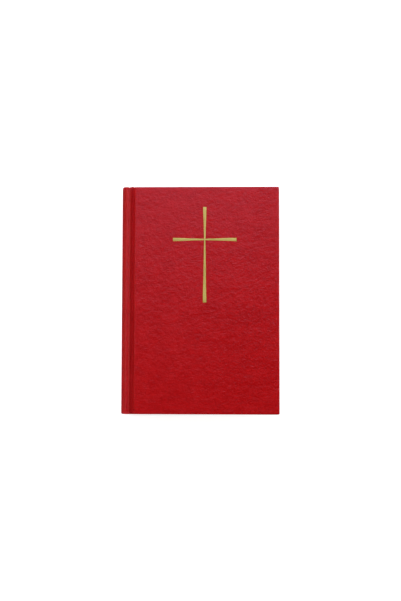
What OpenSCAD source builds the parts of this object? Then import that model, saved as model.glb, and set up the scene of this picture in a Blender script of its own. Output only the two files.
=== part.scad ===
// Prayer book: a sewn, case-bound hardback with a gilt cross on the front cover.
// It lies closed on its back cover. +X runs from the spine to the fore edge,
// +Y from the tail to the head, +Z from the back cover to the front cover.
// All sizes are in millimetres.

/* [Covers] */
// Height of the covers, tail to head
cover_height = 202; // [196:0.5:208]
// Width of the closed book, spine to fore edge
cover_width = 140.9; // [136:0.1:146]
// Thickness of each cover board
board_thick = 2.4; // [2:0.1:3]
// Thickness of the covering material
cloth_thick = 0.5; // [0.4:0.05:0.6]
// Thickness of the covering where it is pared and turned in
turn_in_thick = 0.35; // [0.2:0.05:0.5]
// Width of the turn-ins on the inside of the covers
turn_in_width = 15; // [10:0.5:20]
// Rounding of the covered board edges
edge_round = 0.8; // [0.6:0.1:1.2]
// Rounding of the fore-edge corners, seen from above
corner_round = 1.2; // [0.8:0.1:1.6]

/* [Text block] */
// Number of sewn sections, an even number
sections = 32; // [24:2:34]
// Room that one section takes in the stack
section_pitch = 0.8; // [0.7:0.05:0.9]
// Air between two sections
section_gap = 0.06; // [0.04:0.01:0.1]
// Height of the pages
page_height = 196; // [190:0.5:200]
// Width of a section, fold to fore edge
page_width = 131.7; // [128:0.1:134]
// Thickness of endpapers
paper_thick = 0.2; // [0.15:0.05:0.3]
// Thickness of a flyleaf
flyleaf_thick = 0.15; // [0.1:0.05:0.2]
// Room between pastedown and first section, filled by the flyleaf
flyleaf_room = 0.25; // [0.25:0.05:0.4]

/* [Spine] */
// Half the height of the rounded back of the text block
round_half = 14.9; // [14:0.1:15.5]
// How far the back of the text block bulges
round_rise = 4.2; // [3:0.1:5]
// From the outside of the spine to the folds of the text block
spine_wall = 1.85; // [1.85:0.05:2.2]
// Radius of the ridge beside the joint groove
ridge_round = 1.35; // [1.2:0.05:1.4]
// Depth of the joint groove below the cover face
groove_depth = 2.4; // [2:0.1:2.6]
// Where the hinging part of the leaves starts, from the outside of the spine
leaf_start = 9.5; // [9:0.1:10]

/* [Cross] */
// Distance of the cross from the outside of the spine
cross_x = 74.8; // [70:0.1:78]
// Height of the crossing above the middle of the cover
cross_y = 53.7; // [50:0.1:60]
// Length of the upper arm
arm_up = 29; // [25:0.1:32]
// Length of the lower arm
arm_down = 56.1; // [50:0.1:62]
// Length of each side arm
arm_side = 28.2; // [25:0.1:32]
// Width of the arms at the crossing
arm_narrow = 1.2; // [1:0.1:2]
// Width of the arms at their ends
arm_wide = 3; // [2.6:0.1:4.2]
// Depth that the cross is pressed into the cover
cross_sink = 0.15; // [0.1:0.01:0.2]
// Thickness of the gilt layer
gilt_thick = 0.1; // [0.05:0.01:0.12]

/* [Colours] */
// Covering
red = "#a51e26";
// Gilt
gold = "#bfae5c";
// Pages
cream = "#efe8d6";
// Endpapers
ivory = "#f2ede0";
// Boards
grey = "#8d8880";
// Spine lining
kraft = "#a98a5f";
// Mull and thread
linen = "#ddd6c4";

/* [Hidden] */
$fn = 96;
eps = 0.01;
half_h = cover_height / 2;
half_page = page_height / 2;
inside_z = cloth_thick + board_thick + turn_in_thick + paper_thick;
stack_z = inside_z + flyleaf_room;
thick = 2 * stack_z + sections * section_pitch;
mid_z = thick / 2;
// height of the inner face of the back board, and of the laid-down turn-ins
board_in = cloth_thick + board_thick;
turn_in_z = board_in + turn_in_thick;
// the covered board starts here, beside the joint groove
cover_start = 12.3;
board_start = cover_start + cloth_thick;
board_end = cover_width - cloth_thick;
// top of the groove, counted from the outside of a cover
groove_z = groove_depth;

// rounded back of the text block: an arc about round_x, mid_z
round_r = (round_half * round_half + round_rise * round_rise) / (2 * round_rise);
round_x = spine_wall + round_r;
round_deg = asin(round_half / round_r);
// layers on the back, each from - to outside that arc
thread_at = [0.03, 0.20];
mull_at = [0.22, 0.34];
lining_at = [0.36, 0.52];
lap_at = [0.66, 0.92];
inlay_at = [0.95, 1.33];
cloth_at = [spine_wall - cloth_thick, spine_wall];
// ridge beads, tangent to the outside of the spine
bead_d = round_r + spine_wall - ridge_round;
bead_z = mid_z - 0.3 - ridge_round;
bead_deg = asin(bead_z / bead_d);
bead_x = round_x - bead_d * cos(bead_deg);

// shift of each section's start, so that the open book makes a sloping gutter
slide_max = 20;
slide_power = 1.8;
slide_start = 0.2;
function side(k) = k <= sections / 2 ? k : sections + 1 - k;
function slide(k) = slide_max * pow((side(k) - 0.5) / (sections / 2), slide_power);
function leaf_x(k) = leaf_start + slide_start * slide(k);
function low_z(k) = stack_z + (k - 1) * section_pitch + section_gap / 2;
function back_x(dz) = round_x - sqrt(round_r * round_r - dz * dz);
function on_back(t) = let (a = round_deg * (2 * t - 1)) [round_x - round_r * cos(a), mid_z + round_r * sin(a)];

function name_of(k) = str("section_", k < 10 ? "0" : "", k);

// a profile drawn in X and Z, run along Y from y0 to y1
module run_y(y0, y1) translate([0, y1, 0]) rotate([90, 0, 0]) linear_extrude(y1 - y0) children();
// the same, on both ends
module both_ends(y0, y1) {
    run_y(y0, y1) children();
    run_y(-y1, -y0) children();
}
// what is drawn for the back cover, turned over onto the front
module on_front() translate([0, 0, thick]) mirror([0, 0, 1]) children();
module block(x0, x1, half_y, z0, z1) translate([x0, -half_y, z0]) cube([x1 - x0, 2 * half_y, z1 - z0]);

module pill(x0, x1, y0, y1, r) {
    translate([x0 + r, y0]) square([x1 - x0 - 2 * r, y1 - y0]);
    translate([x0, y0 + r]) square([x1 - x0, y1 - y0 - 2 * r]);
    for (x = [x0 + r, x1 - r], y = [y0 + r, y1 - r]) translate([x, y]) circle(r = r);
}

// part of a ring about the rounded back's centre, layer = [from, to], out to +-deg
module back_layer(layer, deg) {
    reach = round_r + 6;
    translate([round_x, mid_z]) intersection() {
        difference() {
            circle(r = round_r + layer[1], $fn = 360);
            circle(r = round_r + layer[0], $fn = 360);
        }
        polygon([[0, 0], [-reach * cos(deg), -reach * sin(deg)], [-reach * 1.2, 0], [-reach * cos(deg), reach * sin(deg)]]);
    }
}

// the ridge beside the groove, at the top of the spine
module bead() translate([bead_x, mid_z + bead_z]) intersection() {
    difference() {
        circle(r = ridge_round);
        circle(r = ridge_round - cloth_thick);
    }
    polygon([[0, 0], [-4 * cos(bead_deg), 4 * sin(bead_deg)], [0, 6], [5, 4], [5, 0.3]]);
}

module spine_profile() {
    back_layer(cloth_at, bead_deg + 0.05);
    bead();
    translate([0, thick]) mirror([0, 1]) bead();
}

// boards and inlay
module board() block(board_start, board_end, half_h - cloth_thick, cloth_thick, board_in);
module back_board() color(grey) board();
module front_board() color(grey) on_front() board();
module spine_inlay() color(grey) run_y(-half_h + cloth_thick, half_h - cloth_thick) back_layer(inlay_at, 27);

// covering: a rounded skin round the board, turned in on three edges
module cover_skin() difference() {
    union() {
        intersection() {
            run_y(-half_h, half_h) pill(cover_start, cover_width, 0, turn_in_z, edge_round);
            rotate([90, 0, 90]) linear_extrude(cover_width) pill(-half_h, half_h, 0, turn_in_z, edge_round);
            linear_extrude(thick) union() {
                pill(cover_width / 2, cover_width, -half_h, half_h, corner_round);
                translate([cover_start, -half_h]) square([cover_width / 2, cover_height]);
            }
        }
        // down the edge of the board and a little way into the groove
        block(cover_start, board_start, half_h - edge_round, board_in - cloth_thick, turn_in_z);
        block(11.15, board_start, half_h, groove_z, groove_z + cloth_thick);
    }
    board();
    // not turned in along the spine side, nor in the middle
    block(10, cover_width - turn_in_width - cloth_thick, half_h - turn_in_width - cloth_thick, board_in, turn_in_z + 1);
}
module back_cover_cloth() color(red) cover_skin();
module front_cover_cloth() color(red) difference() {
    on_front() cover_skin();
    translate([0, 0, thick - cross_sink]) linear_extrude(1) cross();
}
module spine_cloth() color(red) {
    run_y(-half_h, half_h) spine_profile();
    both_ends(half_h - cloth_thick, half_h) back_layer([lap_at[0], cloth_at[0]], 27);
    both_ends(half_h - turn_in_width, half_h - cloth_thick) back_layer(lap_at, 27);
}

// covering in the joint groove
module joint_strip() run_y(-half_h, half_h)
    polygon([[7.35, 1.7], [8.6, groove_z], [11.05, groove_z], [11.05, groove_z + cloth_thick], [8.45, groove_z + cloth_thick], [7.15, 2.15]]);
module back_joint_cloth() color(red) joint_strip();
module front_joint_cloth() color(red) on_front() joint_strip();

// Latin cross with flared arms
module arm(length) polygon([[-arm_narrow / 2, 0], [-arm_wide / 2, length], [arm_wide / 2, length], [arm_narrow / 2, 0]]);
module cross() translate([cross_x, cross_y]) {
    arm(arm_up);
    rotate(180) arm(arm_down);
    rotate(90) arm(arm_side);
    rotate(-90) arm(arm_side);
}
module gilt_cross() color(gold) translate([0, 0, thick - cross_sink]) linear_extrude(gilt_thick) cross();

// pastedown: one sheet that steps down off the turn-ins and over the mull flap
mull_end = 36;
mull_half = half_page - 10;
mull_thick = 0.12;
window_x = cover_width - turn_in_width - cloth_thick;
window_y = half_h - turn_in_width - cloth_thick;
module pastedown() difference() {
    block(board_start - 0.3, board_end - 2.8, half_page, board_in, inside_z);
    // turn-ins and mull flap lie under it
    difference() {
        block(0, cover_width, half_h, 0, turn_in_z);
        block(0, window_x, window_y, 0, thick);
    }
    mull_flap();
    // hollow where it lies on the bare board and on the mull
    block(mull_end + paper_thick, window_x - paper_thick, window_y - paper_thick, board_in + paper_thick, thick);
    block(0, mull_end + paper_thick + eps, window_y - paper_thick, board_in + mull_thick + paper_thick, thick);
    block(0, board_start, half_h, 0, board_in + mull_thick);
}
module back_pastedown() color(ivory) pastedown();
module front_pastedown() color(ivory) on_front() pastedown();

module mull_flap() block(board_start, mull_end, mull_half - 3, board_in, board_in + mull_thick);
module back_mull_flap() color(linen) mull_flap();
module front_mull_flap() color(linen) on_front() mull_flap();

module flyleaf() block(10.4, board_end - 3, half_page, inside_z + 0.04, inside_z + 0.04 + flyleaf_thick);
module back_flyleaf() color(ivory) flyleaf();
module front_flyleaf() color(ivory) on_front() flyleaf();

// sections: the hinging leaves, and their folds glued and sewn at the back
module leaves(k) color(cream) {
    fold = back_x(low_z(k) + (section_pitch - section_gap) / 2 - mid_z);
    block(leaf_x(k), fold + page_width, half_page, low_z(k), low_z(k) + section_pitch - section_gap);
}
module section_backs() color(cream) run_y(-half_page, half_page) {
    for (k = [1:sections]) polygon([
        on_back((k - 1) / sections + 0.001), [leaf_x(k) - 0.1, low_z(k)],
        [leaf_x(k) - 0.1, low_z(k) + section_pitch - section_gap], on_back(k / sections - 0.001)]);
    back_layer([-0.5, -0.05], round_deg - 0.3);
}
module sewing_thread() color(linen)
    for (y = [-84, -52, -18, 18, 52, 84]) run_y(y - 0.35, y + 0.35) back_layer(thread_at, round_deg - 1);
module spine_mull() color(linen) run_y(-mull_half, mull_half) back_layer(mull_at, round_deg - 0.5);
module spine_lining() color(kraft) run_y(-mull_half + 2, mull_half - 2) back_layer(lining_at, round_deg - 1.5);

// headband: a beaded edge over the folds, with a skirt glued down the back
module band(end) {
    y0 = end > 0 ? half_page : -half_page - 1.5;
    y1 = end > 0 ? half_page + 1.5 : -half_page;
    run_y(y0, y1) back_layer([-1.4, 0.5], round_deg - 2);
    s0 = end > 0 ? half_page - 6 : -half_page;
    run_y(s0, s0 + 6) back_layer(thread_at, round_deg - 2);
}
module head_band() color(linen) band(1);
module tail_band() color(linen) band(-1);

module place() translate([-cover_width / 2, 0, 0]) children();

place() back_board();
place() front_board();
place() spine_inlay();
place() back_cover_cloth();
place() front_cover_cloth();
place() spine_cloth();
place() back_joint_cloth();
place() front_joint_cloth();
place() gilt_cross();
place() back_pastedown();
place() front_pastedown();
place() back_flyleaf();
place() front_flyleaf();
for (k = [1:sections]) place() leaves(k);
place() section_backs();
place() sewing_thread();
place() spine_mull();
place() back_mull_flap();
place() front_mull_flap();
place() spine_lining();
place() head_band();
place() tail_band();
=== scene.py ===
import math

import bmesh
import bpy
import numpy as np
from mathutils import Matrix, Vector

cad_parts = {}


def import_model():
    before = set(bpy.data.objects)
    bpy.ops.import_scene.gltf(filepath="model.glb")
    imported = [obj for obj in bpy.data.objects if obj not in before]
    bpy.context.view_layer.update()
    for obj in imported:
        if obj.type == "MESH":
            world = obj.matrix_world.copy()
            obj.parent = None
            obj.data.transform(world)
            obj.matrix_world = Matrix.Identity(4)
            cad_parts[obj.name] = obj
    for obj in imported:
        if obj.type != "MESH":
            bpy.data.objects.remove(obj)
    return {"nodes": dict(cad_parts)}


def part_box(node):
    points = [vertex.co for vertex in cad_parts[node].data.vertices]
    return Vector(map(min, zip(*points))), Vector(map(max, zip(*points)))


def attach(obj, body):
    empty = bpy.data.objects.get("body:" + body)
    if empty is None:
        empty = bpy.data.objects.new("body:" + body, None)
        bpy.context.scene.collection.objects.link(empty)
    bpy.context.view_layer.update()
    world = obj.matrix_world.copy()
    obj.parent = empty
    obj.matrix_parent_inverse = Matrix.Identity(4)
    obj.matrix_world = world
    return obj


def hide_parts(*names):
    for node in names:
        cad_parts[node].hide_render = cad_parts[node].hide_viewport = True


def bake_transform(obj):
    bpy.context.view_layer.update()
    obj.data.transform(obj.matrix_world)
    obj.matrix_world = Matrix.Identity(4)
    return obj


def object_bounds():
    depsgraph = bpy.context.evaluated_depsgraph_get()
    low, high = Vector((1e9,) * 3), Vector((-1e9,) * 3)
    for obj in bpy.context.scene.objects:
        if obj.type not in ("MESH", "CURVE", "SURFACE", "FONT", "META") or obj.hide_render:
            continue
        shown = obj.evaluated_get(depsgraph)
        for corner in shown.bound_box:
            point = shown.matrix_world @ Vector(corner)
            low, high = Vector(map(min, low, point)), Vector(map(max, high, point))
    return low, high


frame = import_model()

cad_lo, cad_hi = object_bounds()
MM = 0.001
X0 = cad_lo.x            # the spine's outermost line is x = 0 mm below
THICK = (cad_hi.z - cad_lo.z) / MM
MID = THICK / 2
HALF = (cad_hi.y - cad_lo.y) / 2 / MM
WIDE = (cad_hi.x - cad_lo.x) / MM


def box_mm(node):
    lo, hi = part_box(node)
    return ((lo.x - X0) / MM, lo.y / MM, lo.z / MM), ((hi.x - X0) / MM, hi.y / MM, hi.z / MM)


def world(x, y, z):
    return (X0 + x * MM, y * MM, z * MM)


# ---------------------------------------------------------------- mesh helpers

def wob(x, y, seed=0.0, n=4, scale=1.0):
    """A smooth, fixed waviness in -1..1."""
    out = np.zeros(np.broadcast(np.asarray(x, float), np.asarray(y, float)).shape)
    for i in range(n):
        a = seed * 1.7 + i * 2.39996
        f = scale * (1.0 + 0.83 * i)
        out = out + np.sin(x * f * math.cos(a) + y * f * math.sin(a) + seed * 3.1 + i * 1.3) / (1 + 0.5 * i)
    return out / 2.1


def mesh(name, verts, faces, materials, index=None, rest=None, wear_and_painted_light=None, angle=38):
    """A mesh object from points in mm."""
    v = np.asarray(verts, float)
    me = bpy.data.meshes.new(name)
    me.from_pydata([world(*p) for p in v], [], [list(map(int, f)) for f in faces])
    bm = bmesh.new()
    bm.from_mesh(me)
    bmesh.ops.recalc_face_normals(bm, faces=bm.faces)
    bm.to_mesh(me)
    bm.free()
    for m in materials:
        me.materials.append(m)
    if index is not None:
        me.polygons.foreach_set("material_index", np.asarray(index, np.int32))
    r = v if rest is None else np.asarray(rest, float)
    at = me.attributes.new("rest", "FLOAT_VECTOR", "POINT")
    at.data.foreach_set("vector", (r * MM).astype(np.float32).ravel())
    # the per-point channel: above zero the cloth is painted lighter (rubbing, and painted highlights), below zero
    # darker (painted shade, and one small real flaw)
    wr = me.attributes.new("wear_and_painted_light", "FLOAT", "POINT")
    wr.data.foreach_set("value", (np.zeros(len(v)) if wear_and_painted_light is None else np.asarray(wear_and_painted_light, float)).astype(np.float32))
    me.shade_smooth()
    me.set_sharp_from_angle(angle=math.radians(angle))
    me.update()
    ob = bpy.data.objects.new(name, me)
    bpy.context.scene.collection.objects.link(ob)
    return ob


def grid_faces(nu, nv, wrap_u=False, wrap_v=False):
    f = []
    for i in range(nu if wrap_u else nu - 1):
        for j in range(nv if wrap_v else nv - 1):
            a, b = i * nv + j, i * nv + (j + 1) % nv
            c, d = ((i + 1) % nu) * nv + (j + 1) % nv, ((i + 1) % nu) * nv + j
            f.append((a, b, c, d))
    return f


def arc(cx, cz, r, a0, a1, step):
    n = max(3, int(abs(math.radians(a1 - a0)) * r / step) + 1)
    t = np.radians(np.linspace(a0, a1, n))
    return np.c_[cx + r * np.cos(t), cz + r * np.sin(t)]


def line(p, q, step):
    n = max(2, int(math.dist(p, q) / step) + 2)
    return np.linspace(p, q, n)


def chain(*parts):
    out = [parts[0]]
    for p in parts[1:]:
        out.append(p[1:] if math.dist(out[-1][-1], p[0]) < 1e-3 else p)
    return np.vstack(out)


def normals_of(p):
    """Right-hand unit normals of an open polyline."""
    t = np.gradient(p, axis=0)
    t /= np.linalg.norm(t, axis=1)[:, None]
    return np.c_[t[:, 1], -t[:, 0]]


def smooth(a, b, x):
    t = np.clip((np.asarray(x, float) - a) / (b - a), 0, 1)
    return t * t * (3 - 2 * t)


# ---------------------------------------------------------------- materials

class Nodes:
    def __init__(self, name):
        self.m = bpy.data.materials.new(name)
        self.m.use_nodes = True
        self.t = self.m.node_tree
        self.b = self.t.nodes["Principled BSDF"]

    def add(self, kind, **set_):
        n = self.t.nodes.new(kind)
        for k, v in set_.items():
            setattr(n, k, v)
        return n

    def link(self, a, b):
        self.t.links.new(a, b)

    def put(self, socket, value):
        if hasattr(value, "is_linked"):
            self.link(value, socket)
        else:
            socket.default_value = value

    def coords(self, attribute):
        if attribute:
            return self.add("ShaderNodeAttribute", attribute_name="rest").outputs["Vector"]
        return self.add("ShaderNodeTexCoord").outputs["Object"]

    def scaled(self, vec, xyz):
        n = self.add("ShaderNodeMapping")
        self.link(vec, n.inputs["Vector"])
        n.inputs["Scale"].default_value = xyz
        return n.outputs[0]

    def noise(self, vec, scale, detail=3.0, rough=0.55):
        n = self.add("ShaderNodeTexNoise")
        self.link(vec, n.inputs["Vector"])
        n.inputs["Scale"].default_value = scale
        n.inputs["Detail"].default_value = detail
        n.inputs["Roughness"].default_value = rough
        return n.outputs["Fac"]

    def cells(self, vec, scale, smoothness):
        n = self.add("ShaderNodeTexVoronoi", feature="SMOOTH_F1")
        self.link(vec, n.inputs["Vector"])
        n.inputs["Scale"].default_value = scale
        n.inputs["Smoothness"].default_value = smoothness
        return n.outputs["Distance"]

    def wave(self, vec, scale, direction="Y", distort=0.0, detail_scale=1.0):
        n = self.add("ShaderNodeTexWave", wave_type="BANDS", bands_direction=direction)
        self.link(vec, n.inputs["Vector"])
        n.inputs["Scale"].default_value = scale
        n.inputs["Distortion"].default_value = distort
        n.inputs["Detail Scale"].default_value = detail_scale
        return n.outputs["Fac"]

    def math(self, op, a, b=0.0, clamp=False):
        n = self.add("ShaderNodeMath", operation=op, use_clamp=clamp)
        self.put(n.inputs[0], a)
        self.put(n.inputs[1], b)
        return n.outputs[0]

    def span(self, fac, lo, hi, a=0.0, b=1.0):
        n = self.add("ShaderNodeMapRange")
        self.put(n.inputs["Value"], fac)
        for k, v in (("From Min", lo), ("From Max", hi), ("To Min", a), ("To Max", b)):
            n.inputs[k].default_value = v
        return n.outputs["Result"]

    def ramp(self, fac, *stops):
        n = self.add("ShaderNodeValToRGB")
        self.link(fac, n.inputs["Fac"])
        e = n.color_ramp.elements
        while len(e) < len(stops):
            e.new(0.5)
        for i, (p, c) in enumerate(stops):
            e[i].position = p
            e[i].color = (*c, 1)
        return n.outputs["Color"]

    def mix(self, fac, a, b, blend="MIX"):
        n = self.add("ShaderNodeMix", data_type="RGBA", blend_type=blend)
        self.put(n.inputs[0], fac)
        self.put(n.inputs[6], a if hasattr(a, "is_linked") else (*a, 1))
        self.put(n.inputs[7], b if hasattr(b, "is_linked") else (*b, 1))
        return n.outputs[2]

    def bump(self, height, distance, strength=1.0, after=None):
        n = self.add("ShaderNodeBump")
        n.inputs["Strength"].default_value = strength
        n.inputs["Distance"].default_value = distance
        self.link(height, n.inputs["Height"])
        if after is not None:
            self.link(after, n.inputs["Normal"])
        return n.outputs["Normal"]

    def finish(self, colour, rough, normal=None, **sockets):
        self.put(self.b.inputs["Base Color"], colour)
        self.put(self.b.inputs["Roughness"], rough)
        if normal is not None:
            self.link(normal, self.b.inputs["Normal"])
        for k, v in sockets.items():
            self.b.inputs[k.replace("_", " ")].default_value = v
        return self.m


def leatherette(name):
    """Red bookbinding cloth with a fine pebble grain, faint cross streaks and rubbed edges. Painted shade darkens the
    joint grooves and a line along the tail edge, a painted highlight lightens the spine's ridge and the board edge
    beside the groove, and random pinker patches are a painted sheen.
    """
    n = Nodes(name)
    p = n.coords(True)
    warp = n.noise(p, 260, 2)
    pebble = n.cells(p, 1750, smoothness=0.55)
    fine = n.noise(p, 2600, 3, 0.6)
    streak = n.noise(n.scaled(p, (0.22, 1.0, 1.0)), 1300, 2, 0.6)
    cloud = n.noise(p, 34, 4, 0.6)
    sheen_patch = n.noise(n.scaled(p, (0.5, 1.0, 1.0)), 170, 4, 0.65)
    base = n.ramp(
        cloud,
        (0.3, (0.345, 0.0006, 0.0008)),
        (0.52, (0.366, 0.0014, 0.0016)),
        (0.74, (0.388, 0.0036, 0.0040)),
    )
    grain = n.ramp(pebble, (0.1, (1.0, 1.0, 1.0)), (0.62, (0.78, 0.72, 0.72)))
    c = n.mix(0.8, base, grain, "MULTIPLY")
    mottle = n.noise(n.scaled(p, (0.5, 1.0, 1.0)), 900, 2, 0.7)
    dark = n.mix(1.0, c, (0.84, 0.42, 0.42), "MULTIPLY")
    light = n.mix(1.0, c, (1.10, 1.9, 1.9), "MULTIPLY")
    c = n.mix(n.span(mottle, 0.36, 0.66), dark, light)
    c = n.mix(n.span(streak, 0.4, 0.75, 0.0, 0.16), c, (0.31, 0.0015, 0.002))
    # painted sheen: lighter, pinker patches at random stand for an uneven haze of reflected light
    c = n.mix(n.span(sheen_patch, 0.42, 0.66, 0.0, 0.32), c, (0.43, 0.0055, 0.0060))
    rub_and_painted_light = n.add("ShaderNodeAttribute", attribute_name="wear_and_painted_light").outputs["Fac"]
    # painted shade: below zero the channel mixes the colour towards a dark red in the joint grooves and along the tail
    # edge; the same mix draws one small real flaw on the spine
    painted_shade_and_flaw = n.math("MULTIPLY", rub_and_painted_light, -1.0, True)
    c = n.mix(painted_shade_and_flaw, c, (0.315, 0.0002, 0.0006))
    # above zero: lighter and pinker where the cloth is rubbed at edges, corners and caps, and as a painted highlight on
    # the spine's ridge and the board edge beside the groove
    rub_and_painted_light = n.math("MAXIMUM", rub_and_painted_light, 0.0)
    rub_and_painted_light = n.math("MULTIPLY", rub_and_painted_light, n.span(n.noise(p, 420, 3, 0.65), 0.35, 0.7, 0.15, 1.0), True)
    c = n.mix(n.math("MULTIPLY", rub_and_painted_light, 0.42), c, (0.45, 0.022, 0.034))
    height = n.math("ADD", n.math("MULTIPLY", pebble, -0.85), n.math("MULTIPLY", fine, 0.5))
    height = n.math("ADD", height, n.math("MULTIPLY", n.math("ADD", streak, mottle), 0.6))
    nrm = n.bump(warp, 0.00045, 0.7)
    nrm = n.bump(mottle, 0.00022, 0.7, nrm)
    nrm = n.bump(height, 0.00007, 0.75, nrm)
    both = n.math("ADD", n.math("MULTIPLY", mottle, 0.5), n.math("MULTIPLY", pebble, 0.5))
    rough = n.span(both, 0.2, 0.65, 0.27, 0.36)
    rough = n.math("ADD", rough, n.math("MULTIPLY", painted_shade_and_flaw, 0.5))
    return n.finish(c, rough, nrm, Specular_IOR_Level=0.108)


def foil(name):
    """Gilt foil pressed into the cloth: the grain shows through, and it is a little rubbed."""
    n = Nodes(name)
    p = n.coords(True)
    pebble = n.cells(p, 1750, smoothness=0.6)
    rub = n.noise(p, 700, 4, 0.65)
    cloud = n.noise(p, 90, 3)
    c = n.ramp(cloud, (0.3, (0.325, 0.272, 0.038)), (0.7, (0.395, 0.333, 0.060)))
    c = n.mix(n.span(rub, 0.62, 0.80, 0.0, 0.5), c, (0.42, 0.16, 0.045))
    nrm = n.bump(pebble, 0.00005, 0.6)
    return n.finish(c, n.span(rub, 0.3, 0.8, 0.44, 0.60), nrm, Metallic=0.3, Specular_IOR_Level=0.5)


def paper(name, a, b, attribute=True, fibre=900, rough=0.86):
    n = Nodes(name)
    p = n.coords(attribute)
    fib = n.noise(n.scaled(p, (1.0, 0.35, 1.0)), fibre, 4, 0.65)
    cloud = n.noise(p, 60, 4, 0.6)
    c = n.mix(n.span(cloud, 0.3, 0.75), a, b)
    c = n.mix(n.span(fib, 0.5, 0.85, 0.0, 0.22), c, tuple(x * 0.86 for x in a))
    nrm = n.bump(fib, 0.00003, 0.5)
    nrm = n.bump(n.noise(p, 45, 2), 0.0004, 0.12, nrm)
    return n.finish(c, n.span(fib, 0.3, 0.7, rough - 0.05, rough + 0.05), nrm, Specular_IOR_Level=0.25)


def page_edge(name):
    """The cut edge of many leaves: fine streaks along the leaves. rest is (along, y, height in the block)."""
    n = Nodes(name)
    p = n.coords(True)
    flat = n.scaled(p, (0.02, 0.02, 1.0))
    leaf = n.wave(flat, 1550, "Z", 1.2, detail_scale=2.0)
    tone = n.noise(flat, 5200, 4, 0.7)
    stain = n.noise(p, 40, 4, 0.6)
    c = n.mix(n.span(tone, 0.3, 0.72), (0.58, 0.515, 0.39), (0.74, 0.69, 0.58))
    c = n.mix(n.span(leaf, 0.0, 0.42, 0.45, 0.0), c, (0.34, 0.28, 0.20))
    c = n.mix(n.span(stain, 0.55, 0.8, 0.0, 0.22), c, (0.54, 0.45, 0.31))
    nrm = n.bump(n.math("ADD", leaf, tone), 0.00006, 0.7)
    return n.finish(c, n.span(tone, 0.3, 0.7, 0.78, 0.92), nrm, Specular_IOR_Level=0.2)


def printed(name):
    """A page face: rows of plain grey bars with ragged ends, one row in seven red, stand for text. No letters."""
    n = Nodes(name)
    p = n.coords(True)
    sep = n.add("ShaderNodeSeparateXYZ")
    n.link(p, sep.inputs[0])
    x, y = sep.outputs["X"], sep.outputs["Y"]
    row = n.math("DIVIDE", y, 0.0045)
    idx = n.math("FLOOR", row)
    ink = n.math("LESS_THAN", n.math("ABSOLUTE", n.math("SUBTRACT", n.math("FRACT", row), 0.5)), 0.125)
    key = n.add("ShaderNodeCombineXYZ")
    n.link(n.math("MULTIPLY", x, 330.0), key.inputs["X"])
    n.link(n.math("MULTIPLY", idx, 7.13), key.inputs["Y"])
    words = n.math("GREATER_THAN", n.noise(key.outputs[0], 1.0, 0), 0.40)
    rnd = n.add("ShaderNodeTexWhiteNoise", noise_dimensions="1D")
    n.link(idx, rnd.inputs["W"])
    end = n.math("LESS_THAN", x, n.span(rnd.outputs["Value"], 0.0, 1.0, 0.109, 0.121))
    start = n.math("GREATER_THAN", x, 0.026)
    tall = n.math("LESS_THAN", n.math("ABSOLUTE", y), 0.081)
    full = n.math("GREATER_THAN", n.math("FRACT", n.math("MULTIPLY", n.math("ADD", idx, 40.0), 0.1429)), 0.13)
    for extra in (words, end, start, tall, full):
        ink = n.math("MULTIPLY", ink, extra)
    rubric = n.math("LESS_THAN", n.math("FRACT", n.math("MULTIPLY", n.math("ADD", idx, 41.0), 0.1429)), 0.16)
    fib = n.noise(n.scaled(p, (1.0, 0.35, 1.0)), 900, 4, 0.65)
    cloud = n.noise(p, 60, 4, 0.6)
    c = n.mix(n.span(cloud, 0.3, 0.75), (0.64, 0.59, 0.48), (0.70, 0.655, 0.555))
    inkc = n.mix(rubric, (0.13, 0.12, 0.11), (0.40, 0.05, 0.04))
    c = n.mix(n.math("MULTIPLY", ink, n.span(fib, 0.3, 0.8, 0.58, 0.42)), c, inkc)
    nrm = n.bump(fib, 0.00003, 0.5)
    return n.finish(c, n.span(fib, 0.3, 0.7, 0.80, 0.90), nrm, Specular_IOR_Level=0.25)


def weave(name, a, b, pitch):
    """Plain woven cloth, from two crossing sets of threads."""
    n = Nodes(name)
    p = n.coords(False)
    k = 0.314159 / pitch
    one = n.wave(p, k, "X", 0.5, detail_scale=1.5)
    two = n.wave(p, k, "Y", 0.5, detail_scale=1.5)
    three = n.wave(p, k, "Z", 0.4)
    h = n.math("MAXIMUM", n.math("MAXIMUM", one, two), n.math("MULTIPLY", three, 0.8))
    tone = n.noise(p, 500, 3, 0.6)
    c = n.mix(n.span(tone, 0.3, 0.7), a, b)
    c = n.mix(n.span(h, 0.2, 0.75, 0.6, 0.0), c, tuple(x * 0.5 for x in a))
    nrm = n.bump(h, 0.00012, 0.8)
    return n.finish(c, 0.8, nrm, Specular_IOR_Level=0.2)


def thread_look(name):
    n = Nodes(name)
    p = n.coords(False)
    ply = n.wave(n.scaled(p, (1.0, 1.0, 0.6)), 900, "DIAGONAL", 0.6)
    fuzz = n.noise(p, 2400, 4, 0.7)
    c = n.mix(n.span(fuzz, 0.3, 0.7), (0.70, 0.64, 0.52), (0.86, 0.82, 0.71))
    c = n.mix(n.span(ply, 0.0, 0.4, 0.5, 0.0), c, (0.38, 0.33, 0.25))
    return n.finish(c, n.span(fuzz, 0.3, 0.7, 0.7, 0.85), n.bump(ply, 0.0001, 0.8), Sheen_Weight=0.15)


def band_cloth(name):
    """Head band: silk stitched in red and cream over a cord."""
    n = Nodes(name)
    p = n.coords(True)
    stripe = n.wave(p, 210, "Z", 0.25, detail_scale=1.0)
    ply = n.wave(p, 900, "Z", 0.3)
    fuzz = n.noise(p, 1800, 3, 0.6)
    c = n.ramp(stripe, (0.44, (0.42, 0.022, 0.024)), (0.56, (0.84, 0.79, 0.66)))
    c = n.mix(n.span(ply, 0.0, 0.5, 0.4, 0.0), c, (0.20, 0.07, 0.05))
    c = n.mix(n.span(fuzz, 0.5, 0.8, 0.0, 0.2), c, (0.6, 0.45, 0.38))
    return n.finish(c, n.span(fuzz, 0.3, 0.7, 0.45, 0.62), n.bump(ply, 0.0001, 0.8), Sheen_Weight=0.25)


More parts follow.
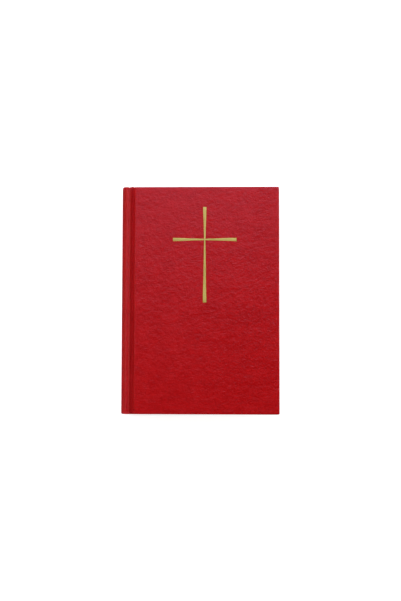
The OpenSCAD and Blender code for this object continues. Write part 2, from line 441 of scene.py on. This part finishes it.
RED = leatherette("red_leatherette")
GOLD = foil("gilt_foil")
IVORY = paper("ivory_endpaper", (0.66, 0.625, 0.54), (0.72, 0.69, 0.61), fibre=700)
PAGE = paper("cream_page", (0.64, 0.59, 0.48), (0.70, 0.655, 0.555))
EDGE = page_edge("page_edges")
PRINT = printed("printed_page")
KRAFT = paper("kraft_lining", (0.38, 0.275, 0.155), (0.46, 0.345, 0.21), False, 1200, 0.82)
CARD = paper("spine_card", (0.30, 0.28, 0.25), (0.38, 0.355, 0.32), True, 1300, 0.88)
MULL = weave("mull_cloth", (0.72, 0.67, 0.56), (0.83, 0.79, 0.69), 0.9)
THREAD = thread_look("linen_thread")
BAND = band_cloth("band_silk")
FOLD = paper("section_folds", (0.76, 0.70, 0.57), (0.86, 0.81, 0.69), True, 1100, 0.86)


# ---------------------------------------------------------------- the case covering

BACK_C, BACK_R = (30.38, MID), 30.38        # the spine's outer arc
BEAD_R = 2.8                                # the ridge beside the groove, a soft round that runs into the arc
BEAD_Z = THICK - 0.28 - BEAD_R
TANGENT = math.degrees(math.asin((BEAD_Z - MID) / (BACK_R - BEAD_R)))
BEAD_C = (BACK_C[0] - (BACK_R - BEAD_R) * math.cos(math.radians(TANGENT)), BEAD_Z)
GROOVE = 2.4
SEAM = 10.2
WALL = box_mm("front_board")[0][0] - 0.5    # where the covered board starts
TURN_X = WALL + 0.4
TURN_Y = 85.5                               # inner edge of the turn-ins at head and tail
ROUND = 0.8                                 # rounding of the covered board's outer edges
INNER_Z = 29.75                             # inner face of the covered front board
STRIP_Z = 30.1                              # inner face of the joint strip
HEAD_END = HALF - ROUND                     # where the covering starts to turn over


def mirror(p):
    return np.c_[p[:, 0], THICK - p[:, 1]]


def slope_line():
    """From the top of the ridge down to the bottom of the joint groove, a gentle fall and then level."""
    a = math.radians(76)
    p0 = np.array([BEAD_C[0] + BEAD_R * math.cos(a), BEAD_C[1] + BEAD_R * math.sin(a)])
    p1 = p0 + 1.7 * np.array([math.sin(a), -math.cos(a)])
    p3 = np.array([SEAM, THICK - GROOVE])
    p2 = p3 - np.array([1.2, 0.0])
    t = np.linspace(0, 1, 25)[:, None]
    return (1 - t) ** 3 * p0 + 3 * (1 - t) ** 2 * t * p1 + 3 * (1 - t) * t * t * p2 + t ** 3 * p3


SPLIT = 7          # where, along that slope, the back joint's own piece starts


def spine_line():
    """Outer line of the spine covering, from the front seam over the ridge and the rounded back to the back seam."""
    slope = slope_line()
    ridge = arc(*BEAD_C, BEAD_R, 76, 180 - TANGENT, 0.11)
    back = arc(*BACK_C, BACK_R, 180 - TANGENT, 180 + TANGENT, 0.55)
    return chain(slope[::-1], ridge, back, mirror(ridge)[::-1], mirror(slope[:SPLIT + 1]))


def head_lift(x):
    """The covering folds up unevenly at its head: two low humps with a dip between."""
    humps = ((0.95, 1.3, 1.9), (0.60, 10.2, 1.0), (-0.40, 7.4, 0.6))        # height, place, width
    return sum(h * math.exp(-((x - at) / wide) ** 2) for h, at, wide in humps)


def spine_skin():
    p = spine_line()
    nrm = normals_of(p)
    # the normals point into the book
    if np.dot(nrm[len(p) // 2], (1, 0)) < 0:
        nrm = -nrm
    dz = p[:, 1] - MID
    in_back = (p[:, 0] < 4.6)
    card = smooth(13.6, 12.9, np.abs(dz)) * in_back       # the stiff inlay runs inside the rounded back
    depth_out = 0.5 + 0.42 * card
    depth_flap = 0.5 + 0.69 * card
    lift = np.array([head_lift(x) for x in p[:, 0]]) * smooth(-2.0, 9.0, dz)
    rows, wear_and_painted_light = [], []
    near_head = np.array([97.0, 97.6, 98.0, 98.4, 98.8, 99.2, HEAD_END])
    ys = np.concatenate([
        -near_head[::-1], np.linspace(-95, -86.0, 5), np.linspace(-84, 84, 57), np.linspace(86.0, 95, 5), near_head,
    ])
    turn = np.linspace(0, math.pi, 9)[1:-1]
    loop = [(y, 0.0, 0, 0.0) for y in ys]
    loop += [(HEAD_END, 1 - math.cos(t), 1, math.sin(t)) for t in turn]
    loop += [(y, 2.0, 2, 0.0) for y in (HEAD_END, 95, 86.4)]
    loop += [(y, 2.0, 3, 0.0) for y in (85.8, 60, 30, 0)]
    loop += [(-y, d, kind, s) for y, d, kind, s in loop[::-1] if kind == 3 and y > 1]
    loop += [(-y, 2.0, 2, 0.0) for y in (86.4, 95, HEAD_END)]
    loop += [(-HEAD_END, 1 - math.cos(t), 1, -math.sin(t)) for t in turn[::-1]]
    for i in range(len(p)):
        for y, d, kind, s in loop:
            if kind == 0:
                depth = 0.0
            elif kind == 1:
                depth = depth_flap[i] * d / 2
            elif kind == 2:
                depth = depth_flap[i]
            else:
                depth = depth_out[i]
            reach = 0.8 * s
            yy = y + (math.copysign(abs(reach), y) if kind == 1 else 0.0)
            if y > 86 and kind < 3:
                yy += lift[i] * smooth(94, HEAD_END, y) if kind else lift[i] * smooth(96, HEAD_END, y)
            # the ridge and the rounded back are not perfectly true along their length
            true = 0.045 * wob(yy * 0.06, dz[i] * 0.3, 2.0) + 0.03 * wob(yy * 0.21, dz[i] * 0.5, 5.0)
            fade = smooth(9.9, 8.2, p[i, 0]) * smooth(0.0, 2.5, p[i, 0] + 1.5 * (abs(dz[i]) > 5))
            true *= fade if p[i, 1] > 2 else 0.0
            if kind == 0 and abs(dz[i]) > 9 and p[i, 0] < 9.5:
                # where the cap is set over the board's end
                depth += 0.13 * math.exp(-((abs(yy) - 98.4) / 0.45) ** 2)
            q = p[i] + nrm[i] * (depth + max(true, -0.02))
            rows.append((q[0], yy, q[1]))
            w = 0.0
            if kind < 2:
                # the ridge top is painted lighter: partly rubbing, partly a painted highlight
                ridge_painted_highlight = 0.55 * math.exp(-((p[i, 0] - BEAD_C[0]) / 1.3) ** 2) * (abs(dz[i]) > 12)
                w = max(0.9 * float(smooth(97.5, 100.4, abs(yy))), ridge_painted_highlight)
                # painted shade: the slope down into the joint groove is darkened
                w -= 0.8 * float(smooth(8.3, 10.2, p[i, 0])) * (abs(yy) < 100.3)
                w -= 1.2 * math.exp(-((p[i, 0] - 4.9) ** 2 / 0.9 + (yy - 84) ** 2 / 2.2)) * float(dz[i] > 10)
            wear_and_painted_light.append(w)
    nv = len(loop)
    faces = grid_faces(len(p), nv, wrap_v=True)
    idx = []
    for f in faces:
        kinds = [loop[v % nv][2] for v in f]
        u = f[0] // nv
        idx.append(1 if min(kinds) == 3 and card[u] > 0.5 else 0)
    faces += [list(range(nv)), list(range((len(p) - 1) * nv, len(p) * nv))[::-1]]
    idx += [0, 0]
    ob = mesh("spine_covering", rows, faces, [RED, CARD], idx, wear_and_painted_light=wear_and_painted_light, angle=50)
    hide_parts("spine_cloth", "spine_inlay", "front_joint_cloth")
    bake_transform(ob)
    return ob


def inner_face(x, y, half_w=0.3):
    """Height of a cover's inner face above its board: the turned-in cloth makes a low step round three edges."""
    inside = smooth(TURN_Y + half_w, TURN_Y - half_w, abs(y)) * smooth(125.4 + half_w, 125.4 - half_w, x)
    ridge = 0.0
    # the mitred corners of the turn-ins lie a little proud
    d = abs((WIDE - x) - (HALF - abs(y))) / 1.414
    if x > 124.5 and abs(y) > 84.5:
        ridge = 0.06 * math.exp(-(d / 0.5) ** 2)
    # in the joint and next to it there is no turn-in under the paper
    return 0.35 * float(inside) - ridge


def cover_skin(name, front):
    """One covered board with its strip of joint cloth, as one closed form. The back one is the front's mirror image."""
    z_out = THICK - GROOVE
    seam = SEAM
    face_z, in_z = THICK, INNER_Z
    wall = WALL
    step = 2.6
    pts = chain(line((seam, z_out), (wall - 1.3, z_out), 0.3), arc(wall - 1.3, z_out + 1.3, 1.3, 270, 354, 0.2))
    top = arc(wall + 0.8, face_z - 0.8, 0.8, 180, 90, 0.2)
    xs = np.arange(wall + 0.8 + 1.3, WIDE - 0.9, step)
    edge = arc(WIDE - 0.8, face_z - 0.8, 0.8, 90, 0, 0.16)
    under = arc(WIDE - 0.6, in_z + 0.6, 0.6, 0, -90, 0.16)
    outer = chain(pts, top, np.c_[xs, np.full(len(xs), face_z)], edge, under)
    inner_x = np.concatenate([
        np.arange(WIDE - 1.8, 126.4, -2.4), [126.2, 125.8, 125.4, 125.0, 124.6],
        np.arange(122.5, 13.5, -3.2), [13.2, 12.95, 12.65, 12.3, 12.0, 11.5, 10.9, seam],
    ])
    inner_z = np.where(inner_x > TURN_X, in_z, STRIP_Z)
    p = np.vstack([outer, np.c_[inner_x, inner_z]])
    n_out = len(outer)
    strip = p[:, 0] < wall - 0.4
    nr = np.zeros((len(p), 2))
    for i, (x, z) in enumerate(p):
        if i < n_out and not strip[i]:
            if x < wall + 0.8:
                a = math.atan2(z - (face_z - 0.8), x - (wall + 0.8))
                nr[i] = (-math.cos(a), -math.sin(a)) if z > face_z - 0.8 else (1.0, 0.0)
            elif x > WIDE - 0.8 and z > face_z - 0.8:
                a = math.atan2(z - (face_z - 0.8), x - (WIDE - 0.8))
                nr[i] = (-math.cos(a), -math.sin(a))
            elif x > WIDE - 0.6 and z < in_z + 0.6:
                a = math.atan2(z - (in_z + 0.6), x - (WIDE - 0.6))
                nr[i] = (-math.cos(a), -math.sin(a))
            else:
                nr[i] = (0, -1) if z > (face_z + in_z) / 2 else (-1, 0)
        elif i < n_out:
            nr[i] = (0, -1)
        else:
            nr[i] = (0, 1)
    scale = np.where(strip | (p[:, 0] < wall + 0.05), 0.28, 1.0)
    edge_turn = np.linspace(0, math.pi / 2, 6)[1:]
    turned = np.array([84.9, 85.2, TURN_Y, 85.8, 86.1, 87.5, 90, 93, 96, 98.6, HEAD_END])
    flat_y = np.concatenate([-turned[::-1], np.linspace(-82.5, 82.5, 67), turned])
    rings = [(-HEAD_END - 0.8 * math.sin(t), 0.8 * (1 - math.cos(t))) for t in edge_turn[::-1]]
    rings += [(y, 0.0) for y in flat_y]
    rings += [(HEAD_END + 0.8 * math.sin(t), 0.8 * (1 - math.cos(t))) for t in edge_turn]
    verts, wear_and_painted_light = [], []
    for y, off in rings:
        over = max(0.0, abs(y) - (HALF - 1.2))
        corner = 1.2 - math.sqrt(max(0.0, 1.44 - min(over, 1.2) ** 2))
        for i, (x, z) in enumerate(p):
            o = off * scale[i]
            xx = x + nr[i, 0] * o
            zz = z + nr[i, 1] * o
            if xx > 60:
                xx -= corner * float(smooth(WIDE - 6, WIDE - 0.5, x))
            if i >= n_out and x > TURN_X:
                zz = in_z + nr[i, 1] * o + inner_face(x, y)
            if nr[i, 1] < 0 and i < n_out and not strip[i] and 13.5 < x < WIDE - 1:
                # the face is not dead flat: faint waviness of the board, rolled down at the edges
                near = min(x - wall, WIDE - x, HALF - abs(y))
                wave = float(wob(x * 0.05, y * 0.05, 1.3 if front else 6.1)) * float(smooth(0, 9, near))
                zz += min(0.0, 0.022 * wave - 0.022)
            yy = y
            if front and y > 96 and x < wall + 0.3:
                yy += head_lift(x) * float(smooth(96, HEAD_END, y)) * float(smooth(wall + 0.2, wall - 0.8, x))
            verts.append((xx, yy, zz))
            near = min(WIDE - xx, HALF - abs(y))
            w = 0.0
            if i < n_out and not strip[i]:
                rim = 0.95 if near < y + HALF else 0.1          # the tail edge is hardly rubbed
                w = rim * float(smooth(1.25, 0.0, near)) * float(smooth(in_z, face_z - 0.3, zz))
                # painted highlight: the top of the board's edge beside the groove is a little lighter
                w = max(w, 0.08 * float(smooth(wall + 1.4, wall + 0.5, xx)) * float(smooth(31.6, 32.7, zz)))
                w = min(1.0, w + 0.5 * float(smooth(5.5, 0.5, math.hypot(WIDE - xx, HALF - abs(y)))))
            # painted shade: the joint groove and the foot of the board's wall are darkened
            if i < n_out and xx < wall + 0.8:
                groove = float(smooth(wall + 0.8, wall - 0.1, xx)) * float(smooth(seam - 0.8, seam + 0.5, xx))
                w -= 0.8 * groove * (abs(y) < 100.3)
            # painted shade: a dark line painted along the tail edge of the face
            if i < n_out and xx > wall + 0.8 and near > y + HALF - 0.01:
                w -= 0.35 * float(smooth(1.9, 0.7, near))
            wear_and_painted_light.append(w)
    verts = np.array(verts)
    np_, nr_ = len(p), len(rings)
    faces = grid_faces(nr_, np_, wrap_v=True)
    # the ends are laced shut from the outer to the inner line
    i, j = 0, np_ - 1
    while i < n_out - 1 or j > n_out:
        if j == n_out or (i < n_out - 1 and p[i + 1, 0] <= p[j - 1, 0]):
            t, i = (i, i + 1, j), i + 1
        else:
            t, j = (i, j - 1, j), j - 1
        faces += [t, tuple(q + (nr_ - 1) * np_ for q in t)[::-1]]
    if not front:
        verts[:, 2] = THICK - verts[:, 2]
    ob = mesh(name, verts, faces, [RED], None, wear_and_painted_light=wear_and_painted_light, angle=50)
    return ob


def press(ob, outline, top, depth, slope=0.12):
    """Presses a shape into the front face with slightly sloping walls."""
    lo = outline
    n = len(lo)
    nrm = []
    for i in range(n):
        a, b, d = np.array(lo[i - 1]), np.array(lo[i]), np.array(lo[(i + 1) % n])
        e1, e2 = b - a, d - b
        n1 = np.array([e1[1], -e1[0]]) / np.linalg.norm(e1)
        n2 = np.array([e2[1], -e2[0]]) / np.linalg.norm(e2)
        m = n1 + n2
        nrm.append(m / max(0.6, float(m @ n1)))
    s = sum((lo[i][0] * lo[(i + 1) % n][1] - lo[(i + 1) % n][0] * lo[i][1]) for i in range(n))
    sign = 1.0 if s > 0 else -1.0
    up = [tuple(np.array(q) + sign * np.array(m) * slope * 2) for q, m in zip(lo, nrm)]
    v = [(x, y, top - depth) for x, y in lo] + [(x, y, top + depth) for x, y in up]
    f = [tuple(range(n))[::-1], tuple(range(n, 2 * n))] + [(i, (i + 1) % n, n + (i + 1) % n, n + i) for i in range(n)]
    cut = mesh("cutter", v, f, [RED])
    mod = ob.modifiers.new("press", "BOOLEAN")
    mod.operation, mod.object, mod.solver = "DIFFERENCE", cut, "EXACT"
    dg = bpy.context.evaluated_depsgraph_get()
    bpy.context.view_layer.update()
    me = bpy.data.meshes.new_from_object(ob.evaluated_get(dg))
    ob.modifiers.clear()
    old = ob.data
    ob.data = me
    me.name = ob.name
    bpy.data.meshes.remove(old)
    bpy.data.objects.remove(cut)
    co = np.zeros(len(me.vertices) * 3, np.float32)
    me.vertices.foreach_get("co", co)
    at = me.attributes.get("rest") or me.attributes.new("rest", "FLOAT_VECTOR", "POINT")
    co = co.reshape(-1, 3)
    at.data.foreach_set("vector", (co - np.array([X0, 0, 0], np.float32)).ravel())
    me.set_sharp_from_angle(angle=math.radians(50))


def cross_outline(grow=0.0):
    lo, hi = box_mm("gilt_cross")
    arm_up = 29.0
    cx, cy = (lo[0] + hi[0]) / 2, hi[1] - arm_up
    na, wi = 0.6 + grow, 1.5 + grow
    up, down, side = arm_up + grow, cy - lo[1] + grow, (hi[0] - lo[0]) / 2 + grow
    pts = [
        (-na, na), (-wi, up), (wi, up), (na, na), (side, wi), (side, -wi),
        (na, -na), (wi, -down), (-wi, -down), (-na, -na), (-side, -wi), (-side, wi),
    ]
    out = []
    for i, q in enumerate(pts):        # a few points on each side, so that the long edges can waver a little
        r = pts[(i + 1) % len(pts)]
        m = max(1, int(math.dist(q, r) / 3.0))
        for k in range(m):
            t = k / m
            x, y = q[0] + (r[0] - q[0]) * t, q[1] + (r[1] - q[1]) * t
            if m > 1 and 0 < k:
                x += 0.035 * math.sin(y * 1.9 + x * 1.1)
                y += 0.035 * math.sin(x * 1.7 + y * 0.7)
            out.append((cx + x, cy + y))
    return out


def gilt_cross():
    lo, hi = box_mm("gilt_cross")
    outline = cross_outline(-0.02)
    n = len(outline)
    inner = cross_outline(-0.16)
    v = [(x, y, lo[2] + 0.005) for x, y in outline] + [(x, y, hi[2] - 0.035) for x, y in outline]
    v += [(x, y, hi[2]) for x, y in inner]
    f = [tuple(range(n))[::-1]]
    for a, b in ((0, n), (n, 2 * n)):
        f += [(a + i, a + (i + 1) % n, b + (i + 1) % n, b + i) for i in range(n)]
    f += [tuple(range(2 * n, 3 * n))]
    ob = mesh("cross_foil", v, f, [GOLD], angle=60)
    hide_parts("gilt_cross")
    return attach(ob, "front_cover")


front_cover = cover_skin("front_covering", True)
press(front_cover, cross_outline(0.06), THICK - 0.02, 0.15)
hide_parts("front_cover_cloth", "front_board")
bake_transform(front_cover)
back_cover = cover_skin("back_covering", False)
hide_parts("back_cover_cloth", "back_board")
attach(back_cover, "back_cover")


def back_joint():
    """The covering over the back groove, from the ridge's slope to the back board's strip."""
    p = mirror(slope_line()[SPLIT:])
    nrm = normals_of(p)
    if nrm[-1, 1] < 0:
        nrm = -nrm
    loop = [(y, 0.0) for y in np.concatenate([[-HEAD_END], np.linspace(-96, 96, 49), [HEAD_END]])]
    for t in np.linspace(0, math.pi, 7)[1:-1]:
        loop.append((HEAD_END + 0.8 * math.sin(t), 0.25 * (1 - math.cos(t))))
    loop += [(y, 0.5) for y in (HEAD_END, 60, 0, -60, -HEAD_END)]
    for t in np.linspace(math.pi, 0, 7)[1:-1]:
        loop.append((-HEAD_END - 0.8 * math.sin(t), 0.25 * (1 - math.cos(t))))
    v, wear_and_painted_light = [], []
    for q, m in zip(p, nrm):
        for y, d in loop:
            r = q + m * d
            v.append((r[0], y, r[1]))
            wear_and_painted_light.append(0.8 * float(smooth(98, 100.6, abs(y))))
    nv = len(loop)
    f = grid_faces(len(p), nv, wrap_v=True) + [list(range(nv)), list(range((len(p) - 1) * nv, len(p) * nv))[::-1]]
    ob = mesh("back_joint_covering", v, f, [RED], wear_and_painted_light=wear_and_painted_light, angle=50)
    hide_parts("back_joint_cloth")
    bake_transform(ob)
    return ob


spine_skin()
back_joint()
gilt_cross()


# ---------------------------------------------------------------- endpapers

def sheet_mesh(name, xs, ys, low, high, mat):
    """A thin sheet as a closed form between two heights given as functions of (x, y)."""
    nx, ny = len(xs), len(ys)
    a = [(x, y, low(x, y)) for x in xs for y in ys]
    b = [(x, y, high(x, y)) for x in xs for y in ys]
    n = nx * ny
    f = grid_faces(nx, ny)
    f += [tuple(i + n for i in q)[::-1] for q in grid_faces(nx, ny)]
    rim = [i * ny for i in range(nx)] + [(nx - 1) * ny + j for j in range(1, ny)]
    rim += [i * ny + ny - 1 for i in range(nx - 2, -1, -1)] + [j for j in range(ny - 2, 0, -1)]
    f += [(rim[i], rim[(i + 1) % len(rim)], rim[(i + 1) % len(rim)] + n, rim[i] + n) for i in range(len(rim))]
    return mesh(name, a + b, f, [mat], angle=55)


def paste_z(x, y):
    """Inner face of the front cover, below which the pasted paper lies."""
    return STRIP_Z if x < TURN_X else INNER_Z + inner_face(x, y)


def flipped(height):
    """The same height function, mirrored for the back of the book."""
    return lambda x, y: THICK - height(x, y)


def pastedown(front):
    xs = np.concatenate([
        np.linspace(10.3, 13.2, 9), np.arange(14.4, 122, 4.5),
        [122.5, 124.4, 124.9, 125.4, 125.9, 126.4], np.arange(128, 137, 1.8), [137.6],
    ])
    turned = np.array([84.6, 85.1, TURN_Y, 85.9, 86.4, 88, 91, 94, 97, 98])
    ys = np.concatenate([-turned[::-1], np.linspace(-81, 81, 37), turned])
    top = (lambda x, y: paste_z(x, y) - 0.015)
    low = (lambda x, y: paste_z(x, y) - 0.20 + 0.012 * float(wob(x * 0.09, y * 0.09, 3.0)))
    if front:
        ob = sheet_mesh("front_endpaper_pasted", xs, ys, low, top, IVORY)
        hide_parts("front_pastedown", "front_mull_flap")
        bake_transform(ob)
    else:
        ob = sheet_mesh("back_endpaper_pasted", xs, ys, flipped(top), flipped(low), IVORY)
        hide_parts("back_pastedown", "back_mull_flap")
        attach(ob, "back_cover")


def flyleaf(front):
    lo, hi = box_mm("front_flyleaf")
    xs = np.concatenate([np.linspace(lo[0] - 0.5, 14.0, 9), np.arange(16, 136, 4.0), [137.0, hi[0]]])
    ys = np.concatenate([np.linspace(lo[1], -94, 3), np.linspace(-90, 90, 37), np.linspace(94, hi[1], 3)])

    def mid(x, y):
        return 29.435 + 0.018 * float(wob(x * 0.05, y * 0.06, 8.0))
    low, high = (lambda x, y: mid(x, y) - 0.05), (lambda x, y: mid(x, y) + 0.05)
    if front:
        ob = sheet_mesh("front_flyleaf_sheet", xs, ys, low, high, IVORY)
        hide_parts("front_flyleaf")
        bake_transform(ob)
    else:
        ob = sheet_mesh("back_flyleaf_sheet", xs, ys, flipped(high), flipped(low), IVORY)
        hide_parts("back_flyleaf")
        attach(ob, "back_cover")


for side in (True, False):
    pastedown(side)
    flyleaf(side)


# ---------------------------------------------------------------- the sewn sections

N = 32
ROUND_HALF, ROUND_X, ROUND_R = 14.9, 30.38, 28.53
ROUND_A = math.asin(ROUND_HALF / ROUND_R)
PITCH, FLAT_X, SHEET = 0.8, 11.5, 0.75


def section(k):
    end = box_mm("section_%02d" % k)[1][0]
    a = ROUND_A * (2 * (k - 0.5) / N - 1)
    fold = np.array([ROUND_X - ROUND_R * math.cos(a), MID + ROUND_R * math.sin(a)])
    z = 3.7 + (k - 0.5) * PITCH
    p3 = np.array([FLAT_X, z])
    L = p3[0] - fold[0]
    p1 = fold + np.array([math.cos(a), -math.sin(a)]) * L * 0.38
    p2 = p3 - np.array([L * 0.42, 0])
    t = np.linspace(0, 1, 17)[:, None]
    c = (1 - t) ** 3 * fold + 3 * (1 - t) ** 2 * t * p1 + 3 * (1 - t) * t * t * p2 + t ** 3 * p3
    xs = np.concatenate([np.linspace(FLAT_X, 34, 13)[1:], np.linspace(34, end - 0.5, 12)[1:], [end]])
    c = np.vstack([c, np.c_[xs, np.full(len(xs), z)]])
    nr = -normals_of(c)
    along = np.concatenate([[0], np.cumsum(np.linalg.norm(np.diff(c, axis=0), axis=1))])
    half = np.full(len(c), SHEET / 2)
    half *= 0.62 + 0.38 * smooth(0, 1.6, along)            # the folds are pinched where they are sewn
    half[0] *= 0.35
    ys = np.concatenate([[-98.0, -97.6, -92], np.linspace(-80, 80, 9), [92, 97.6, 98.0]])
    n, m = len(c), len(ys)
    v, rest = [], []
    seed = k * 1.31
    for side in (1, -1):
        for i in range(n):
            for j, y in enumerate(ys):
                # the trimmed edges are clean but not perfect
                yy = y + math.copysign(0.07, y) * float(wob(i * 0.35, k * 1.7, seed)) * (abs(y) > 97)
                dx = 0.06 * float(wob(y * 0.08, k * 1.9, seed)) if i == n - 1 else 0.0
                h = half[i] * side
                q = c[i] + nr[i] * h
                v.append((q[0] - abs(dx), yy, q[1]))
                rest.append((along[i], yy, z + h))
    f = []
    g = grid_faces(n, m)
    f += g
    f += [tuple(q + n * m for q in face)[::-1] for face in g]
    top_print = k in (N // 2, N)
    low_print = k in (N // 2 + 1, 1)
    idx = [2 if top_print else 0] * len(g) + [2 if low_print else 0] * len(g)
    for i in range(n - 1):
        f.append((i * m, (i + 1) * m, (i + 1) * m + n * m, i * m + n * m))
        f.append((i * m + m - 1, (i + 1) * m + m - 1, (i + 1) * m + m - 1 + n * m, i * m + m - 1 + n * m)[::-1])
        idx += [1, 1]
    for j in range(m - 1):
        f.append((j, j + 1, j + 1 + n * m, j + n * m))
        idx.append(3)
        b = (n - 1) * m
        f.append((b + j, b + j + 1, b + j + 1 + n * m, b + j + n * m)[::-1])
        idx.append(1)
    ob = mesh("leaves_of_section_%02d" % k, v, f, [PAGE, EDGE, PRINT, FOLD], idx, rest=rest, angle=40)
    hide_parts("section_%02d" % k)
    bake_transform(ob)
    return ob


for k in range(1, N + 1):
    leaves = section(k)
    if k == 1:
        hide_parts("section_backs")


# ---------------------------------------------------------------- head and tail bands

def band(node, name):
    """A cord wrapped in striped silk, on the rounded back's end, swelling a little at each stitch."""
    lo, hi = box_mm(node)
    up = 1 if lo[1] > 0 else -1
    base = lo[1] if up > 0 else hi[1]
    angles = np.radians(np.linspace(-27.5, 27.5, 121))
    ring = 12
    v, rest = [], []
    for a in angles:
        for j in range(ring):
            t = 2 * math.pi * j / ring
            thread = 1.0 + 0.07 * math.cos(a * 30.38 * 2 * math.pi / 0.36)
            r = ROUND_R - 0.75 + 0.72 * math.cos(t) * thread
            y = base + up * (0.75 + 0.72 * math.sin(t) * thread)
            v.append((ROUND_X - r * math.cos(a), y, MID + r * math.sin(a)))
            rest.append((r, y, a * ROUND_R))
    f = grid_faces(len(angles), ring, wrap_v=True)
    f += [list(range(ring)), list(range((len(angles) - 1) * ring, len(angles) * ring))[::-1]]
    ob = mesh(name, v, f, [BAND], rest=rest, angle=60)
    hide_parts(node)
    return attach(ob, "spine")


band("head_band", "head_band_silk")
band("tail_band", "tail_band_silk")

# the CAD pieces that stay as they are, inside the spine
for node, mat in (("sewing_thread", THREAD), ("spine_mull", MULL), ("spine_lining", KRAFT)):
    o = frame["nodes"][node]
    o.data.materials.clear()
    o.data.materials.append(mat)


# ---------------------------------------------------------------- floor, light and camera

def floor():
    me = bpy.data.meshes.new("floor")
    s, z = 9.0, cad_lo.z - 0.00003
    me.from_pydata([(-s, -s, z), (s, -s, z), (s, s, z), (-s, s, z)], [], [(0, 1, 2, 3)])
    n = Nodes("pale_floor")
    p = n.coords(False)
    c = n.mix(n.span(n.noise(p, 6, 3), 0.3, 0.7), (0.52, 0.52, 0.52), (0.54, 0.54, 0.54))
    me.materials.append(n.finish(c, 0.9, n.bump(n.noise(p, 300, 3), 0.0002, 0.2), Specular_IOR_Level=0.1))
    n.b.inputs["Emission Color"].default_value = (1, 1, 1, 1)
    n.b.inputs["Emission Strength"].default_value = 0.80
    ob = bpy.data.objects.new("floor", me)
    bpy.context.scene.collection.objects.link(ob)
    ob.visible_glossy = False


def backdrop():
    """A pale studio wall far off, seen only by the camera: it takes no part in the lighting."""
    v, rings, far = [], 9, 8.5
    for i in range(64):
        a = 2 * math.pi * i / 64
        for j in range(rings):
            e = math.pi / 2 * j / rings
            out = far * math.cos(e)
            v.append((out * math.cos(a), out * math.sin(a), cad_lo.z - 0.3 + far * math.sin(e)))
    f = grid_faces(64, rings, wrap_u=True) + [[i * rings + rings - 1 for i in range(64)]]
    me = bpy.data.meshes.new("backdrop")
    me.from_pydata(v, [], f)
    me.shade_smooth()
    n = Nodes("pale_wall")
    c = n.mix(n.span(n.noise(n.coords(False), 0.4, 2), 0.3, 0.7), (0.90, 0.90, 0.90), (0.93, 0.93, 0.93))
    me.materials.append(n.finish((0.0, 0.0, 0.0, 1.0), 1.0, None, Specular_IOR_Level=0.0))
    n.link(c, n.b.inputs["Emission Color"])
    n.b.inputs["Emission Strength"].default_value = 1.0
    ob = bpy.data.objects.new("backdrop", me)
    bpy.context.scene.collection.objects.link(ob)
    ob.visible_diffuse = ob.visible_glossy = ob.visible_transmission = ob.visible_shadow = False


def area(name, place, size, power, colour=(1, 1, 1), at=(0, 0, 0.02)):
    d = bpy.data.lights.new(name, "AREA")
    d.shape, d.size, d.size_y, d.energy, d.color = "RECTANGLE", size[0], size[1], power, colour
    o = bpy.data.objects.new(name, d)
    o.location = place
    o.rotation_mode = "QUATERNION"
    o.rotation_quaternion = (Vector(at) - Vector(place)).to_track_quat("-Z", "Y")
    bpy.context.scene.collection.objects.link(o)


floor()
backdrop()
w = bpy.data.worlds.new("soft_surround")
w.use_nodes = True
wt = w.node_tree
up = wt.nodes.new("ShaderNodeSeparateXYZ")
wt.links.new(wt.nodes.new("ShaderNodeTexCoord").outputs["Generated"], up.inputs[0])
half_up = wt.nodes.new("ShaderNodeMapRange")
wt.links.new(up.outputs["Z"], half_up.inputs["Value"])
half_up.inputs["From Min"].default_value, half_up.inputs["From Max"].default_value = -1.0, 1.0
fall = wt.nodes.new("ShaderNodeValToRGB")
wt.links.new(half_up.outputs["Result"], fall.inputs["Fac"])
while len(fall.color_ramp.elements) < 4:
    fall.color_ramp.elements.new(0.5)
for e, (at, v) in zip(fall.color_ramp.elements, ((0.0, 0.05), (0.48, 0.10), (0.56, 0.80), (0.74, 0.02))):
    e.position, e.color = at, (v, v, v, 1)
wt.links.new(fall.outputs["Color"], wt.nodes["Background"].inputs["Strength"])
wt.nodes["Background"].inputs["Color"].default_value = (1, 1, 1, 1)
bpy.context.scene.world = w
area("head_softbox", (-0.03, 0.60, 1.32), (0.9, 0.24), 15.5, (0.72, 0.69, 1.0))
area("left_softbox", (-1.15, 0.28, 0.90), (1.1, 1.4), 13.9, (1.0, 0.98, 0.95))
area("right_softbox", (1.25, 0.28, 0.75), (0.9, 1.4), 13.9, (1.0, 0.98, 0.95))
area("tail_fill", (0.2, -1.35, 0.75), (1.3, 0.5), 1.5, (1.0, 0.97, 0.93))

cam = bpy.data.cameras.new("camera")
cam.sensor_width, cam.lens = 36.0, 67.926
cam.clip_start, cam.clip_end = 0.05, 20
co = bpy.data.objects.new("camera", cam)
co.location = (0.0321601, -0.0722107, 1.033)
co.rotation_euler = (0.0714900, 0.0312412, 0.0025632)
bpy.context.scene.collection.objects.link(co)
bpy.context.scene.camera = co
bpy.context.scene.view_settings.view_transform = "Standard"
